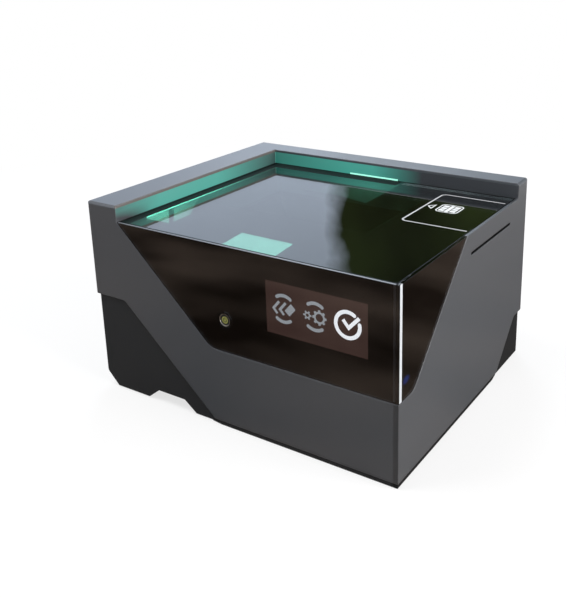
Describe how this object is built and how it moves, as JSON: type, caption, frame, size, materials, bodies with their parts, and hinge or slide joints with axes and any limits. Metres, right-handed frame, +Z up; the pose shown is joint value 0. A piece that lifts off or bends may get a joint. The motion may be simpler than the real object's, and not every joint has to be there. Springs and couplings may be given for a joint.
{
  "type": "passport scanner",
  "caption": "Desk-top passport scanner with a flat scan glass inside a raised L-shaped rim, smoked front and side panes, a display, a lit push button and a chip card slot.",
  "frame": {"origin": "middle of the footprint, on the surface that the feet stand on", "axes": "+Z up, +X to the right as seen from the front, +Y to the rear; the front face looks along -Y"},
  "size_m": [0.192, 0.16, 0.111],
  "materials": {
    "grey_paint": "fine satin grey paint over a moulded case",
    "black_shell": "finely textured black moulding",
    "scan_glass": "polished tinted scan glass",
    "gasket_foam": "matte black foam",
    "black_moulding": "matte black moulding",
    "smoked_pane": "polished smoked pane",
    "white_strip": "satin white light strip",
    "display_glass": "polished display cover",
    "bright_steel": "plain rolled steel",
    "ribbon_film": "amber flexible circuit film",
    "satin_aluminium": "satin anodised",
    "button_cap": "dark cap with a lit sign",
    "chip_black": "matte epoxy moulding",
    "board_green": "solder-masked circuit board",
    "blue_led": "clear blue lens",
    "contact_gold": "gold-flashed contact carriage",
    "mirror_silver": "front-surface mirror",
    "lens_glass": "coated lens",
    "light_diffuser": "teal-lit diffuser",
    "foot_rubber": "matte rubber"
  },
  "bodies": {
    "chassis": {"antenna_board": "board_green", "base_shell": "black_shell", "board_screw_1": "bright_steel", "board_screw_2": "bright_steel", "board_screw_3": "bright_steel", "board_screw_4": "bright_steel", "button_bezel": "satin_aluminium", "buzzer": "chip_black", "camera_board": "board_green", "camera_bracket": "satin_aluminium", "card_reader_cover": "black_moulding", "card_reader_frame": "black_moulding", "corner_strip": "white_strip", "display_bracket": "bright_steel", "display_panel": "display_glass", "display_ribbon": "ribbon_film", "document_glass": "scan_glass", "fold_mirror": "mirror_silver", "front_board": "board_green", "front_fascia": "smoked_pane", "glass_carrier": "black_moulding", "glass_gasket": "gasket_foam", "housing_screw_1": "bright_steel", "housing_screw_2": "bright_steel", "housing_screw_3": "bright_steel", "housing_screw_4": "bright_steel", "image_sensor": "chip_black", "led_board_front": "board_green", "led_board_left": "board_green", "led_board_rear": "board_green", "led_board_right": "board_green", "led_diffuser_front": "light_diffuser", "led_diffuser_left": "light_diffuser", "led_diffuser_rear": "light_diffuser", "led_diffuser_right": "light_diffuser", "lens_barrel": "black_moulding", "lens_element": "lens_glass", "lens_holder": "black_moulding", "lock_plate": "bright_steel", "main_board": "board_green", "mirror_bracket": "bright_steel", "optical_tunnel": "black_moulding", "power_socket": "chip_black", "power_switch": "chip_black", "processor": "chip_black", "processor_heatsink": "satin_aluminium", "reset_switch": "chip_black", "rubber_foot_1": "foot_rubber", "rubber_foot_2": "foot_rubber", "rubber_foot_3": "foot_rubber", "rubber_foot_4": "foot_rubber", "side_fascia": "smoked_pane", "status_led": "blue_led", "upper_housing": "grey_paint", "usb_a_socket": "bright_steel", "usb_c_socket": "bright_steel"},
    "power_button": {"power_button": "button_cap"},
    "reset_button": {"reset_button": "white_strip"},
    "card_carriage": {"card_contact_carriage": "contact_gold"},
    "detect_lever": {"card_detect_lever": "bright_steel"}
  },
  "joints": [
    {"name": "power_press", "type": "slide", "parent": "chassis", "child": "power_button", "axis": [0, 1, 0], "range_m": [0, 0.0008], "stiffness_N_per_m": 400},
    {"name": "reset_press", "type": "slide", "parent": "chassis", "child": "reset_button", "axis": [0, -1, 0], "range_m": [0, 0.0006], "stiffness_N_per_m": 400},
    {"name": "carriage_slide", "type": "slide", "parent": "chassis", "child": "card_carriage", "axis": [-1, 0, 0], "range_m": [0, 0.0035], "stiffness_N_per_m": 250},
    {"name": "lever_swing", "type": "hinge", "parent": "chassis", "child": "detect_lever", "pos_m": [0.061, -0.0041, 0.0905], "axis": [0, 0, 1], "range_deg": [0, 76], "stiffness_Nm_per_rad": 0.0006}
  ]
}
